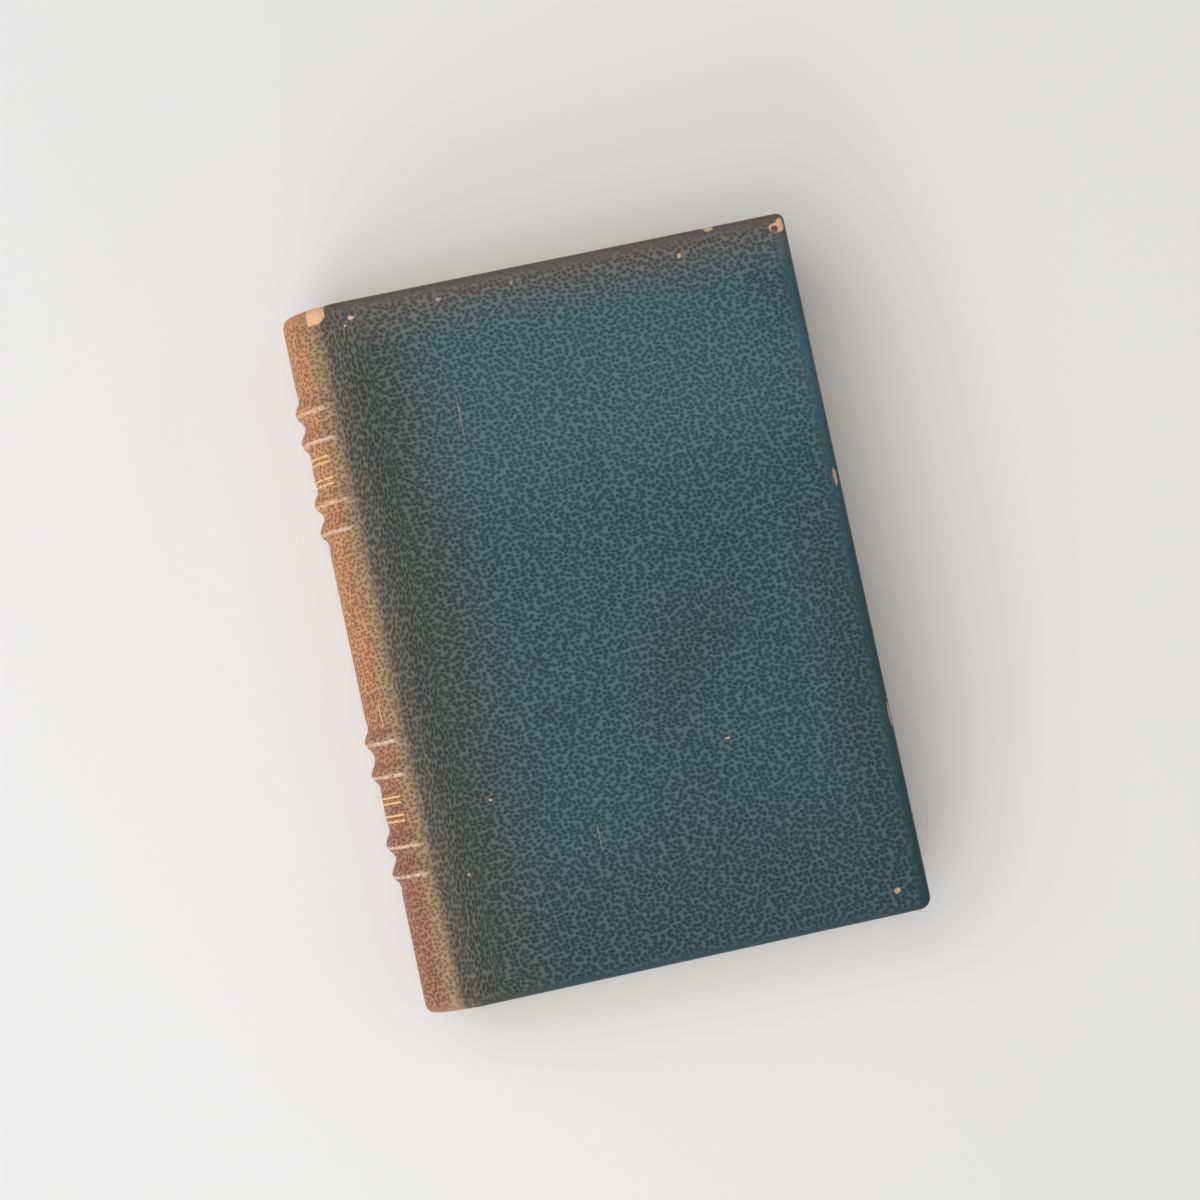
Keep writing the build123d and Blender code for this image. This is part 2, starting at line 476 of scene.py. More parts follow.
def rows_of_hide():
    """The hide's rows from tail to head: (y, turned step), the step below 0 at the tail."""
    low = -HEAD + FLAT_EDGE
    marks = {low, -low}
    for band in BANDS:
        marks.update(spaced(band - BAND_ROWS_REACH, band + BAND_ROWS_REACH, BAND_ROW))
    stops = sorted(marks)
    places = [low]
    for stop in stops[1:]:
        gap = stop - places[-1]
        if gap > CLOSEST_ROWS:
            places += spaced(places[-1], stop, min(gap, PLAIN_ROW))[1:]
    rows = [(low, -step) for step in range(TURNS, 0, -1)]
    rows += [(y, 0) for y in places]
    rows += [(-low, step) for step in range(1, TURNS + 1)]
    return rows


def columns_of_hide(first_u):
    """The hide's columns from the spine to the fore-edge: (u, turned step)."""
    last = FORE_EDGE - HINGE_X - FLAT_EDGE
    places = []
    if first_u < -6 * MM:
        places += spaced(first_u, -8 * MM, SPINE_COLUMN)[:-1]
        places += spaced(-8 * MM, -3 * MM, SHOULDER_COLUMN)[:-1]
        places += spaced(-3 * MM, JOINT_END, JOINT_COLUMN)[:-1]
    else:
        places += spaced(first_u, JOINT_END, JOINT_COLUMN)[:-1]
    places += spaced(JOINT_END, last, BOARD_COLUMN)
    return [(u, 0) for u in places] + [(last, step) for step in range(1, TURNS + 1)]


def edge_turn(u, step):
    """Inset, depth and length of leather at a step of the head or tail edge, at u."""
    cap = 1 - smooth(-1.2 * MM, 0.6 * MM, u)
    inset = mixed(BOARD_TURN[step][0], CAP_TURN[step][0], cap) * MM
    depth = mixed(BOARD_TURN[step][1], CAP_TURN[step][1], cap) * MM
    return inset, depth, mixed(BOARD_RUNS[step], CAP_RUNS[step], cap)


def laid(column, row, corner):
    """Where a point of the flat hide comes to lie, and its flat place; corner is True past both edges."""
    u, across = column
    y, along = row
    side = 1 if y > 0 else -1
    step = max(abs(along), across)
    if step == 0:
        x, z = section(u, y)
        return (x, y, z), (u, y)
    if not corner and across == 0:
        inset, depth, run = edge_turn(u, step)
        x, z = section(u, y)
        out_x, out_z = facing(u)
        return (x - out_x * depth, side * (HEAD - inset), z - out_z * depth), (u, y + side * run)
    inset = BOARD_TURN[step][0] * MM
    depth = BOARD_TURN[step][1] * MM
    run = BOARD_RUNS[step]
    z = section(u, y)[1] - depth
    if not corner:
        return (FORE_EDGE - inset, y, z), (u + run, y)
    sizes = settings().sizes
    radius = sizes.head_corner if side > 0 else sizes.tail_corner
    share = abs(along) / step * 0.5 if abs(along) <= across else 1 - across / step * 0.5
    turn = share * math.pi / 2
    reach = radius - inset
    way_x, way_y = (math.cos(turn), math.sin(turn)) if reach > 0 else (1.0, 1.0)
    x = FORE_EDGE - radius + reach * way_x
    y_laid = HEAD - radius + reach * way_y
    return (x, side * y_laid, z), (u + run * math.cos(turn), y + side * run * math.sin(turn))


def make_hide(name, first_u, flipped):
    """The goatskin from first_u round to the fore-edge; flipped lays it on the back cover."""
    columns = columns_of_hide(first_u)
    rows = rows_of_hide()
    shape = bmesh.new()
    bmesh.ops.create_grid(shape, x_segments=len(columns) - 1, y_segments=len(rows) - 1, size=0.5)
    last_flat = max(index for index, column in enumerate(columns) if column[1] == 0)
    flat = {}
    for vertex in shape.verts:
        i = round((vertex.co.x + 0.5) * (len(columns) - 1))
        j = round((vertex.co.y + 0.5) * (len(rows) - 1))
        corner = i >= last_flat and rows[j][1] != 0
        place, (u, v) = laid(columns[i], rows[j], corner)
        if flipped:
            place = (place[0], place[1], TOP - place[2])
            u = -girth() - u
        vertex.co = place
        flat[vertex] = (u, v)
    layer = shape.loops.layers.uv.new("hide")
    for face in shape.faces:
        for loop in face.loops:
            loop[layer].uv = flat[loop.vert]
    bmesh.ops.remove_doubles(shape, verts=shape.verts, dist=0.002 * MM)
    if flipped:
        bmesh.ops.reverse_faces(shape, faces=shape.faces)
    return finished(shape, name)


def finished(shape, name, flat_shaded=False):
    """The shape as an object in the scene."""
    mesh = bpy.data.meshes.new(name)
    shape.to_mesh(mesh)
    shape.free()
    if not flat_shaded:
        mesh.shade_smooth()
    piece = bpy.data.objects.new(name, mesh)
    bpy.context.scene.collection.objects.link(piece)
    return piece


# Finishes

# Marks of wear, in millimetres: (from the joint, from the head, half width, half height, strength)
SPECKS = [
    (6.9, 5.2, 0.9, 0.5, 1.0), (4.9, 7.1, 0.5, 0.4, 0.6), (31.7, 5.1, 0.7, 0.6, 0.5),
    (52.8, 4.5, 0.5, 0.5, 0.45), (100.5, 6.5, 0.6, 0.7, 0.7), (110.2, 0.5, 1.3, 0.8, 0.9),
    (17.0, 144.6, 0.45, 0.4, 0.7), (6.9, 163.6, 0.5, 0.4, 0.6), (85.4, 141.6, 0.7, 0.3, 0.7),
    (130.6, 76.3, 0.5, 2.6, 0.6), (131.6, 144.6, 0.5, 3.4, 0.6), (123.0, 193.2, 0.9, 0.8, 0.7),
    (44.6, 161.0, 0.16, 3.9, 0.35), (31.0, 38.6, 0.16, 6.6, 0.35),
    (-9.5, 115.6, 0.22, 4.3, 0.8), (-17.8, 96.0, 0.9, 0.25, 0.8),
]
CHIP = (129.3, 3.8, 2.1, 1.7, 1.0)
CHIP_ISLAND = (128.6, 4.4, 1.1, 0.9, 1.0)
GOLD_RULES = (41.0, 42.6, 47.2, 48.8, 138.4, 140.0, 143.6, 145.2)
BAND_TO_WORN_AND_HIGHLIGHT_LINE = 1.15 * MM
BLOTCH_SHIFT = (0.37, 0.11, 0)
DIRT_SHIFT = (0.7, 0.2, 0)


class Hide:
    """The flat hide's coordinates in a material, and the noises that its marks share."""

    def __init__(self, recipe):
        self.flat = recipe.flat_map("hide")
        self.u, self.v, _ = recipe.split(self.flat)
        self.from_joint = abs(self.u + girth() / 2) - girth() / 2
        self.from_head = HEAD - self.v
        self.from_tail = self.v + HEAD
        self.from_fore_edge = (FORE_EDGE - HINGE_X) - self.from_joint
        slow = recipe.noise(self.flat, 26, 3.0)
        self.blotch = recipe.noise(recipe.stretched(self.flat, shift=BLOTCH_SHIFT), 70, 4.0, 0.6)
        self.fine = recipe.noise(self.flat, 900, 3.0, 0.6)
        self.fray = (self.fine - 0.5) * 2.6
        self.ragged = (slow - 0.5) * 12 * MM + (self.blotch - 0.5) * 7 * MM

    def spot(self, mark, fray):
        """A frayed oval, 1 inside and 0 outside."""
        from_joint, from_head, half_width, half_height, strength = mark
        across = (self.u - from_joint * MM) / (half_width * MM)
        along = (self.v - (HEAD - from_head * MM)) / (half_height * MM)
        return (across * across + along * along + fray).rise(1.5, 0.5) * strength


def grain(recipe, hide):
    """Goatskin's grain, as pits and the net of ridges between them; it fades along pressed edges."""
    density = 1 / settings().hide.grain_pitch
    warped = recipe.warped(hide.flat, 1.3 * MM, 210)
    lying = recipe.stretched(warped, (0.84, 1.16, 1), math.radians(-8))
    upright = recipe.stretched(warped, (1.5, 0.8, 1))
    board = recipe.cells(lying, density, 0.82, "2D")
    joint = recipe.cells(upright, density, 0.82, "2D")
    beside = hide.from_joint.rise(-5 * MM, -1.5 * MM) * hide.from_joint.rise(13 * MM, 6 * MM)
    distance = board + (joint - board) * beside
    pressed = hide.from_fore_edge.least(hide.from_head * 1.2).least(hide.from_tail * 1.8)
    worked = pressed.rise(1.5 * MM, 5.5 * MM) * 0.75 + 0.25
    return distance.rise(0.5, 0.16) * worked, distance.rise(0.42, 0.66) * worked


def board_dye(recipe, hide, look):
    """Teal, browned at the head and the joint; lighter in the upper part of the boards and darker towards the
    tail and the fore-edge, which is painted light and shade.
    """
    ragged = hide.ragged
    down = hide.from_head + ragged * 2
    cloud = recipe.noise(hide.flat, 18, 4.0, 0.6)
    # Painted light: the upper part of the boards is lighter.
    board = recipe.mix(down.rise(48 * MM, 74 * MM), look.teal_painted_light, look.teal)
    # Painted shade: darker towards the tail.
    board = recipe.mix(down.rise(150 * MM, 198 * MM) * 0.7, board, look.teal_deep_and_painted_shade)
    board = recipe.mix(cloud.rise(0.5, 0.74) * 0.4, board, look.teal_deep_and_painted_shade)
    # Painted shade: darker by the fore-edge, more so in the lower part.
    lower = hide.from_head.rise(70 * MM, 130 * MM)
    shaded = (hide.from_fore_edge + ragged * 0.7).rise(20 * MM, 7 * MM) * (lower * 0.6 + 0.15)
    board = recipe.mix(shaded, board, look.teal_deep_and_painted_shade)
    board = recipe.mix((hide.from_joint + ragged).rise(34 * MM, 6 * MM), board, look.joint_olive)
    board = recipe.mix((hide.from_head + ragged * 0.6).rise(19 * MM, 1 * MM), board, look.sunned)
    into_joint = (hide.from_joint + ragged * 0.3).rise(7 * MM, -0.5 * MM)
    return recipe.mix(into_joint, board, look.joint_brown)


def dye(recipe, hide, look):
    """The goatskin's colours, from the boards over the joint to the tan spine."""
    board = board_dye(recipe, hide, look)
    towards_tail = (hide.v + hide.ragged * 3).rise(20 * MM, -60 * MM)
    spine = recipe.mix(towards_tail, look.tan, look.tan_red)
    dirt = recipe.noise(recipe.stretched(hide.flat, shift=DIRT_SHIFT), 140, 4.0, 0.65)
    spine = recipe.mix(dirt.rise(0.45, 0.72) * 0.35, spine, look.joint_brown)
    edge = hide.from_joint + hide.ragged * 0.25
    spine = recipe.mix(edge.rise(-11 * MM, -4.5 * MM), spine, look.buff)
    return recipe.mix(edge.rise(-5.5 * MM, 0.0), spine, board)


def wear_and_band_highlights(recipe, hide, look, base):
    """Lines along the bands, partly rubbed wear and partly painted highlight; rubbed rims of the caps,
    specks, and the chipped corner.
    """
    on_spine = hide.from_joint.rise(-3 * MM, -6.5 * MM)
    for band in BANDS:
        # Painted highlight, partly real rubbing: a pale line on the tail slope of each band.
        from_line = hide.v - (band - BAND_TO_WORN_AND_HIGHLIGHT_LINE) + (hide.blotch - 0.5) * 1.2 * MM
        line = abs(from_line).rise(0.75 * MM, 0.2 * MM) * on_spine * hide.fine.rise(0.3, 0.6)
        base = recipe.mix(line, base, look.rubbed_and_highlight)
    rim = hide.from_tail.least(hide.from_head).rise(0.7 * MM, -0.6 * MM)
    rim = rim * hide.from_joint.rise(-1 * MM, -3 * MM) * hide.fine.rise(0.35, 0.6) * 0.7
    base = recipe.mix(rim, base, look.rubbed_and_highlight)
    for mark in SPECKS:
        base = recipe.mix(hide.spot(mark, hide.fray), base, look.rubbed_and_highlight)
    chip = hide.spot(CHIP, hide.fray) * (1.0 - hide.spot(CHIP_ISLAND, hide.fray * 0.5))
    return recipe.mix(chip, base, look.raw)


def torn_patch(hide):
    """Where the dyed face is torn from the head cap, beside the joint."""
    slanted = (hide.from_head + hide.u * 0.9 + hide.fray * 0.35 * MM).rise(3.2 * MM, 2.6 * MM)
    between = hide.u.rise(-0.2 * MM, -0.5 * MM) * hide.u.rise(-6.5 * MM, -5.5 * MM)
    return slanted * between * hide.from_head.rise(5.2 * MM, 4.4 * MM)


def gold_rules(hide):
    """Plain rules across two panels of the spine, broken by wear."""
    gilt = 0.0
    for from_head in GOLD_RULES:
        gilt = abs(hide.from_head - from_head * MM).rise(0.34 * MM, 0.22 * MM).most(gilt)
    return gilt * hide.from_joint.rise(-8.4 * MM, -8.8 * MM) * hide.fine.rise(0.3, 0.45)


def morocco():
    """Goatskin: pebbled grain, teal where it kept its dye, tan where the sun reached it, and its wear, with
    painted light and shade on the boards and painted highlights on the grain's ridges and along the bands.
    """
    look = settings().hide
    recipe = Recipe("morocco_goatskin", Specular_IOR_Level=0.45)
    hide = Hide(recipe)
    base = dye(recipe, hide, look)
    pit, crown = grain(recipe, hide)
    sunk = recipe.mix(1.0, base, (0.2, 0.27, 0.3), "MULTIPLY")
    base = recipe.mix(pit * 0.62, base, sunk)
    # Painted highlight: the grain's ridges are made lighter.
    lit = recipe.mix(1.0, base, (0.05, 0.065, 0.065), "ADD")
    base = recipe.mix(crown * 0.75, base, lit)
    base = wear_and_band_highlights(recipe, hide, look, base)
    torn = torn_patch(hide)
    base = recipe.mix(torn, base, look.raw)
    base = recipe.mix(gold_rules(hide) * 0.9, base, look.gilt)
    height = (1.0 - pit) * 0.8 + crown * 0.25 + hide.fine * 0.12 - torn * 0.8
    rough = 0.44 + pit * 0.22 + torn * 0.3 + (hide.blotch - 0.5) * 0.2
    return recipe.finish(
        Base_Color=base, Roughness=rough, Normal=recipe.relief(height, 0.16 * MM, 0.6)
    )


def aged_paper(name, leaf, spots):
    """Clouded paper with a few brown spots."""
    recipe = Recipe(name, Specular_IOR_Level=0.2)
    place = recipe.place()
    fibre = recipe.noise(place, 900, 3.0, 0.6)
    cloud = recipe.noise(place, 22, 4.0, 0.6).rise(0.4, 0.75)
    fox = recipe.cells(recipe.warped(place, 4 * MM, 120), 90).rise(0.16, 0.04)
    base = recipe.mix(cloud * 0.45 + fibre * 0.1, leaf, spots)
    base = recipe.mix(fox * 0.5, base, spots)
    surface = recipe.relief(fibre, 0.03 * MM, 0.4)
    return recipe.finish(Base_Color=base, Roughness=0.8 + fibre * 0.1, Normal=surface)


def leaf_edges():
    """The trimmed edges of many leaves: fine lines, dust and browning."""
    look = settings().paper
    recipe = Recipe("leaf_edges", Specular_IOR_Level=0.2)
    place = recipe.place()
    lines = recipe.noise(recipe.stretched(place, (40, 40, 5200)), 1.0, 3.0, 0.7)
    gatherings = recipe.noise(recipe.stretched(place, (12, 12, 700)), 1.0, 2.0)
    dust = recipe.noise(place, 60, 4.0, 0.65).rise(0.4, 0.75)
    streaks = lines.rise(0.38, 0.62) * 0.5 + gatherings.rise(0.45, 0.7) * 0.3
    base = recipe.mix(streaks, look.leaf, look.leaf_dark)
    base = recipe.mix(dust * 0.5, base, look.leaf_dark)
    surface = recipe.relief(lines + gatherings * 0.5, 0.12 * MM, 0.8)
    return recipe.finish(Base_Color=base, Roughness=0.75 + lines * 0.2, Normal=surface)


SILK_SWEEP = 2.1
TURNS_PER_STRIPE_PAIR = 4


def wound_silk():
    """Silk in two colours, wound round a core."""
    look = settings().paper
    recipe = Recipe("endband_silk", Specular_IOR_Level=0.5)
    x, _, z = recipe.split(recipe.place())
    angle = recipe.node(
        "ShaderNodeMath", {"operation": "ARCTAN2"}, {0: z - MIDDLE, 1: spine_axis_x() - x}
    )
    turn = angle * (settings().sizes.winding_turns / SILK_SWEEP)
    wave = recipe.node(
        "ShaderNodeMath", {"operation": "SINE"}, {0: turn * (2 * math.pi / TURNS_PER_STRIPE_PAIR)}
    )
    thread = recipe.noise(recipe.place(), 3000, 2.0)
    base = recipe.mix(wave.rise(-0.1, 0.1), look.silk_light, look.silk_dark)
    base = recipe.mix(thread * 0.4, base, look.foxing)
    surface = recipe.relief(thread, 0.05 * MM, 0.5)
    return recipe.finish(Base_Color=base, Roughness=0.4 + thread * 0.25, Normal=surface)


def plain_hidden(name, light, dark, scale):
    """A fibrous finish for what lies under the leather and paper."""
    recipe = Recipe(name, Specular_IOR_Level=0.2)
    place = recipe.place()
    fibre = recipe.noise(recipe.stretched(place, (1, 0.3, 1)), scale, 4.0, 0.7)
    base = recipe.mix(fibre.rise(0.35, 0.7), screen_colour(*light), screen_colour(*dark))
    surface = recipe.relief(fibre, 0.15 * MM, 0.6)
    return recipe.finish(Base_Color=base, Roughness=0.8 + fibre * 0.15, Normal=surface)


def painted(piece, material):
    """The piece, with the material as its only one."""
    piece.data.materials.clear()
    piece.data.materials.append(material)
    return piece


# Pieces

# The seam between the two stretches of goatskin lies under the spine, this far round from its middle
SEAM_ANGLE = math.radians(58)

# Two places past the hinge line, which the goatskin step reads without using
FOLD_START = -0.8 * MM
FOLD_END = 2.2 * MM


class BOOK_OT_goatskin(Operator):
    """Lay the goatskin over the spine and both boards"""

    bl_idname = "antique_book.goatskin"
    bl_label = "Goatskin"

    def execute(self, context):
        seam = -(hinge_angle() + SEAM_ANGLE) * spine_radius()
        finish = morocco()
        front = painted(make_hide("goatskin_spine_and_front", seam, False), finish)
        back = painted(make_hide("goatskin_back", -girth() - seam, True), finish)
        for piece, cover, start_z in ((front, "front_cover", TOP), (back, "back_cover", 0.0)):
            HINGE_X + FOLD_START
            HINGE_X + FOLD_END
            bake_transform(piece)
        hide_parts("spine_leather", "front_leather")
        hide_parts("back_leather")
        return {"FINISHED"}


class BOOK_OT_leaves(Operator):
    """Stack the trimmed leaves"""

    bl_idname = "antique_book.leaves"
    bl_label = "Leaves"

    def execute(self, context):
        block = painted(make_leaves("trimmed_leaves"), leaf_edges())
        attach(block, "book_block")
        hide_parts("text_block")
        return {"FINISHED"}


def leaves_back_x(z):
    """Where the rounded and backed spine of the leaves lies at height z."""
    radius = spine_axis_x() - LEAVES_LOW.x
    rise = min(abs(z - MIDDLE), radius)
    return spine_axis_x() - math.sqrt(radius ** 2 - rise ** 2)


FORE_EDGE_HOLLOW = 4 * MM
LEAF_STEP = 0.24 * MM


def leaves_front_x(z):
    """Where the hollow fore-edge lies at height z."""
    half = FLYLEAF_LOW.z - MIDDLE
    radius = (half ** 2 + FORE_EDGE_HOLLOW ** 2) / (2 * FORE_EDGE_HOLLOW)
    rise = min(abs(z - MIDDLE), half)
    return FLYLEAF_HIGH.x - FORE_EDGE_HOLLOW + radius - math.sqrt(radius ** 2 - rise ** 2)


def leaf_ring():
    """Places round a leaf, as (share across, share along, way in)."""
    across = spaced(0, 1, 1 / 44)
    along = spaced(0, 1, 1 / 60)
    ring = [(share, 0.0, (0, 1)) for share in across[:-1]]
    ring += [(1.0, share, (-1, 0)) for share in along[:-1]]
    ring += [(share, 1.0, (0, -1)) for share in reversed(across[1:])]
    ring += [(0.0, share, (0, 0)) for share in reversed(along[1:])]
    return ring


def make_leaves(name):
    """A ring of edges round the bottom leaf, extruded up leaf by leaf, each trimmed a little in or out."""
    ragged = settings().sizes.leaf_raggedness
    ring = leaf_ring()
    bottom = TOP - FLYLEAF_LOW.z
    levels = spaced(bottom, FLYLEAF_LOW.z, LEAF_STEP)
    shape = bmesh.new()
    verts = [shape.verts.new((0, 0, bottom)) for _ in ring]
    edges = [shape.edges.new((verts[i - 1], verts[i])) for i in range(len(verts))]

    def settle(verts, level, z):
        step_in = abs(noise.noise(Vector((level * 3.7, 1.3, 0.4)))) + 0.25 * (level % 2)
        for vertex, (across, along, way) in zip(verts, ring):
            x = mixed(leaves_back_x(z), leaves_front_x(z), across)
            y = mixed(LEAVES_LOW.y, LEAVES_HIGH.y, along)
            wave = 0.5 + 0.5 * noise.noise(Vector((x * 30, y * 30, level * 0.35)))
            trim = ragged * (step_in + 0.6 * wave)
            vertex.co = (x + way[0] * trim, y + way[1] * trim, z)

    settle(verts, 0, bottom)
    bmesh.ops.contextual_create(shape, geom=edges)
    for level, z in enumerate(levels[1:], start=1):
        made = bmesh.ops.extrude_edge_only(shape, edges=edges)["geom"]
        fresh = {v for v in made if isinstance(v, bmesh.types.BMVert)}
        edges = [e for e in made if isinstance(e, bmesh.types.BMEdge) and set(e.verts) <= fresh]
        verts = [
            next(e.other_vert(v) for e in v.link_edges if e.other_vert(v) in fresh) for v in verts
        ]
        settle(verts, level, z)
    bmesh.ops.contextual_create(shape, geom=edges)
    bmesh.ops.recalc_face_normals(shape, faces=shape.faces)
    return finished(shape, name, flat_shaded=True)


class BOOK_OT_endbands(Operator):
    """Wind the silk endbands at the head and the tail"""

    bl_idname = "antique_book.endbands"
    bl_label = "Endbands"

    def execute(self, context):
        finish = wound_silk()
        for node, side in (("head_endband", 1), ("tail_endband", -1)):
            piece = painted(make_endband(f"wound_{node}", side), finish)
            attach(piece, "book_block")
            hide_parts(node)
        return {"FINISHED"}


# An endband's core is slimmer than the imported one, by the height of the silk's turns
CORE_SHARE = 0.94
ENDBAND_SHORT = 0.8 * MM
STEPS_PER_TURN = 4


def make_endband(name, side):
    """A round core spun along the spine's curve, with the turns of silk standing on it."""
    core = (ENDBAND_HIGH.y - ENDBAND_LOW.y) / 2
    radius = spine_axis_x() - ENDBAND_LOW.x - core
    y = side * (ENDBAND_LOW.y + core)
    sweep = math.acos((spine_axis_x() - HINGE_X + ENDBAND_SHORT) / radius)
    turns = settings().sizes.winding_turns
    shape = bmesh.new()
    made = bmesh.ops.create_circle(shape, segments=12, radius=core * CORE_SHARE, cap_ends=True)
    for vertex in made["verts"]:
        vertex.co = Vector((spine_axis_x() - radius + vertex.co.x, y + vertex.co.y, MIDDLE))
    centre = (spine_axis_x(), y, MIDDLE)
    bmesh.ops.rotate(
        shape, verts=shape.verts, cent=centre, matrix=Matrix.Rotation(sweep, 3, "Y")
    )
    bmesh.ops.spin(
        shape, geom=shape.faces[:], cent=centre, axis=(0, 1, 0),
        angle=-2 * sweep, steps=turns * STEPS_PER_TURN,
    )
    for vertex in shape.verts:
        angle = math.atan2(vertex.co.z - MIDDLE, spine_axis_x() - vertex.co.x)
        middle_x = spine_axis_x() - radius * math.cos(angle)
        middle = Vector((middle_x, y, MIDDLE + radius * math.sin(angle)))
        crest = abs(math.sin(angle / (2 * sweep) * turns * math.pi))
        puff = mixed(CORE_SHARE, 1.0, crest)
        vertex.co = middle + (vertex.co - middle) * (puff / CORE_SHARE)
    bmesh.ops.recalc_face_normals(shape, faces=shape.faces)
    return finished(shape, name)


class BOOK_OT_endpapers(Operator):
    """Paste the endpapers to the boards, with their folds in the joints"""

    bl_idname = "antique_book.endpapers"
    bl_label = "Endpapers"

    def execute(self, context):
        look = settings().paper
        paper = aged_paper("endpaper", look.endpaper, look.foxing)
        for side, cover in (("front", "front_cover"), ("back", "back_cover")):
            piece = painted(make_endpaper(f"{side}_endpaper", side == "back"), paper)
            HINGE_X + 0.06 * MM
            HINGE_X + 0.27 * MM
            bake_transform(piece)
            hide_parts(f"{side}_pastedown")
            painted(frame["nodes"][f"{side}_flyleaf"], paper)
        return {"FINISHED"}


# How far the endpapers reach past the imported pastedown, over the turned-in leather
PAPER_OVERLAP = 1.6 * MM
PAPER_CLEAR = 0.07 * MM
PAPER_ROW = 4 * MM
FOLD_DEPTH = 2.7 * MM


def endpaper_path():
    """The paper's way, as x and z: up the shoulder, over the joint, and down and across the board."""
    low = FLYLEAF_HIGH.z + 0.05 * MM
    high = TOP - FOLD_DEPTH
    inside = PASTEDOWN_LOW.z - PAPER_CLEAR
    root_x = HINGE_X + 0.02 * MM
    board_x = HINGE_X + 0.28 * MM
    path = [(root_x, low), (root_x, mixed(low, high, 0.5)), (HINGE_X + 0.05 * MM, high - 0.1 * MM)]
    path += [(x, high) for x in spaced(HINGE_X + 0.07 * MM, HINGE_X + 0.26 * MM, 0.03 * MM)]
    path += [(board_x, z) for z in (high - 0.1 * MM, mixed(inside, high, 0.5), inside + 0.05 * MM)]
    across = spaced(HINGE_X + 0.4 * MM, PASTEDOWN_HIGH.x + PAPER_OVERLAP, PAPER_ROW)
    return path + [(x, inside) for x in across]


def make_endpaper(name, flipped):
    """A sheet laid along the paper's way; flipped lays it on the back cover."""
    path = endpaper_path()
    half = PASTEDOWN_HIGH.y + PAPER_OVERLAP
    rows = spaced(-half, half, PAPER_ROW)
    shape = bmesh.new()
    bmesh.ops.create_grid(shape, x_segments=len(path) - 1, y_segments=len(rows) - 1, size=0.5)
    for vertex in shape.verts:
        i = round((vertex.co.x + 0.5) * (len(path) - 1))
        j = round((vertex.co.y + 0.5) * (len(rows) - 1))
        x, z = path[i]
        vertex.co = (x, rows[j], TOP - z if flipped else z)
    if not flipped:
        bmesh.ops.reverse_faces(shape, faces=shape.faces)
    return finished(shape, name)


class BOOK_OT_hidden(Operator):
    """Finish the boards, the lining and the cords under the leather"""

    bl_idname = "antique_book.hidden"
    bl_label = "Hidden parts"

    def execute(self, context):
        nodes = frame["nodes"]
        millboard = plain_hidden("millboard", (168, 148, 118), (122, 102, 78), 500)
        mull = plain_hidden("mull_lining", (206, 194, 166), (160, 142, 108), 1500)
        hemp = plain_hidden("hemp_cord", (188, 166, 124), (128, 104, 70), 2500)
        painted(nodes["front_board"], millboard)
        painted(nodes["back_board"], millboard)
        painted(nodes["spine_lining"], mull)
        for name in CORDS:
            painted(nodes[name], hemp)
        return {"FINISHED"}


# Each window's tint, width and length, and its place from the book; angles in degrees
HIGH_WINDOW = {"tint": (0.97, 0.99, 1.0), "size": (3.6, 3.2), "azimuth": 178, "height": 60, "distance": 2.5}
TAIL_WINDOW = {"tint": (0.98, 0.99, 1.0), "size": (1.6, 0.9), "azimuth": 238, "height": 24, "distance": 2.2}
SKY_TINT = (1.0, 0.95, 0.9, 1.0)


class BOOK_OT_stage(Operator):
    """Set the floor, the light and the camera"""

    bl_idname = "antique_book.stage"
    bl_label = "Stage"

    def execute(self, context):
        scene = context.scene
        scene.view_settings.view_transform = "Standard"
        look = settings().stage
        lay_floor(look)
        hang_window("high_window", look.window_power, **HIGH_WINDOW)
        hang_window("tail_window", look.side_power, **TAIL_WINDOW)
        set_sky(look)
        set_camera(scene)
        return {"FINISHED"}


FLOOR_HALF_WIDTH = 3.0
FLOOR_DROP = 0.1 * MM


def lay_floor(look):
    """A plain floor just under the book."""
    shape = bmesh.new()
    bmesh.ops.create_grid(shape, x_segments=1, y_segments=1, size=FLOOR_HALF_WIDTH)
    bmesh.ops.translate(shape, verts=shape.verts, vec=(0, 0, -FLOOR_DROP))
    floor = finished(shape, "floor", flat_shaded=True)
    recipe = Recipe("pale_floor", Specular_IOR_Level=0.25, Roughness=0.55)
    cloud = recipe.noise(recipe.place(), 6, 3.0)
    painted(floor, recipe.finish(Base_Color=recipe.mix(cloud * 0.06, look.floor, (0.7, 0.7, 0.72))))


def hang_window(name, power, tint, size, azimuth, height, distance):
    """A soft light aimed at the book; its azimuth runs from the fore-edge round by the head."""
    light = bpy.data.lights.new(name, "AREA")
    light.shape = "RECTANGLE"
    light.size, light.size_y = size
    light.energy = power
    light.color = tint
    window = bpy.data.objects.new(name, light)
    turn = math.radians(azimuth)
    lift = math.radians(height)
    flat_share = math.cos(lift)
    way = Vector((math.cos(turn) * flat_share, math.sin(turn) * flat_share, math.sin(lift)))
    place = way * distance
    window.location = place
    window.rotation_euler = (-place).to_track_quat("-Z", "Y").to_euler()
    bpy.context.scene.collection.objects.link(window)


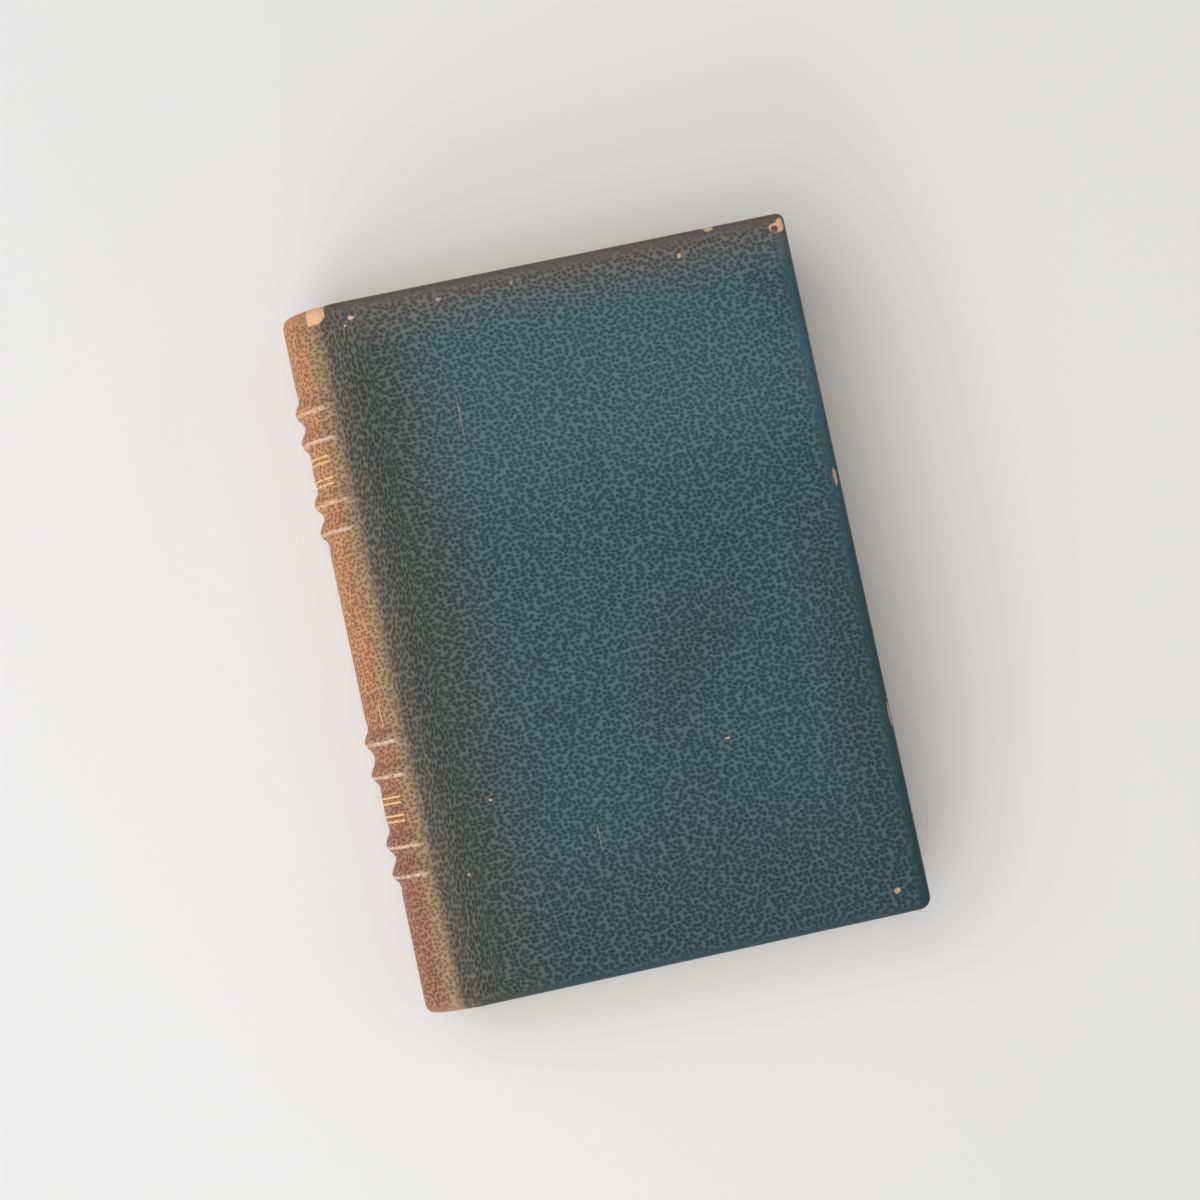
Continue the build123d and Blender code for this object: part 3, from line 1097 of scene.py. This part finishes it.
def set_sky(look):
    """Even light from all round."""
    world = bpy.data.worlds.new("sky")
    world.use_nodes = True
    background = world.node_tree.nodes["Background"]
    background.inputs["Color"].default_value = SKY_TINT
    background.inputs["Strength"].default_value = look.sky
    bpy.context.scene.world = world


EYE = Vector((-0.0624, -0.0247, 0.9))
AIM = Vector((0.00075, 0.00401, 0.018))
UPWARDS = Vector((0.2063, 0.9774, 0.0466))
LENS_ANGLE = math.radians(21.862)


def set_camera(scene):
    """Nearly straight above, from the spine's side, with the book turned a little on the picture."""
    lens = bpy.data.cameras.new("camera")
    lens.angle = LENS_ANGLE
    lens.clip_start = 0.01
    camera = bpy.data.objects.new("camera", lens)
    forward = (AIM - EYE).normalized()
    right = forward.cross(UPWARDS).normalized()
    upright = right.cross(forward)
    turn = Matrix((right, upright, -forward)).transposed()
    camera.matrix_world = turn.to_4x4()
    camera.location = EYE
    scene.collection.objects.link(camera)
    scene.camera = camera


class BOOK_PT_panel(Panel):
    """The book's pieces, in the sidebar"""

    bl_label = "Antique leather book"
    bl_space_type = "VIEW_3D"
    bl_region_type = "UI"
    bl_category = "Book"

    def draw(self, context):
        for step in STEPS:
            self.layout.operator(step.bl_idname)
        book = settings()
        for group in (book.sizes, book.hide, book.paper, book.stage):
            box = self.layout.box()
            for name in group.__annotations__:
                box.prop(group, name)


STEPS = (
    BOOK_OT_stage, BOOK_OT_goatskin, BOOK_OT_leaves,
    BOOK_OT_endbands, BOOK_OT_endpapers, BOOK_OT_hidden,
)
GROUPS = (BookSizes, HideFinish, PaperFinish, StageSettings, BookSettings)


def register():
    for group in GROUPS:
        bpy.utils.register_class(group)
    for step in STEPS:
        bpy.utils.register_class(step)
    bpy.utils.register_class(BOOK_PT_panel)
    bpy.types.Scene.antique_book = PointerProperty(type=BookSettings)


def unregister():
    del bpy.types.Scene.antique_book
    bpy.utils.unregister_class(BOOK_PT_panel)
    for group in reversed(GROUPS + STEPS):
        bpy.utils.unregister_class(group)


def main():
    register()
    for step in STEPS:
        group, name = step.bl_idname.split(".")
        getattr(getattr(bpy.ops, group), name)()


if __name__ == "__main__":
    main()
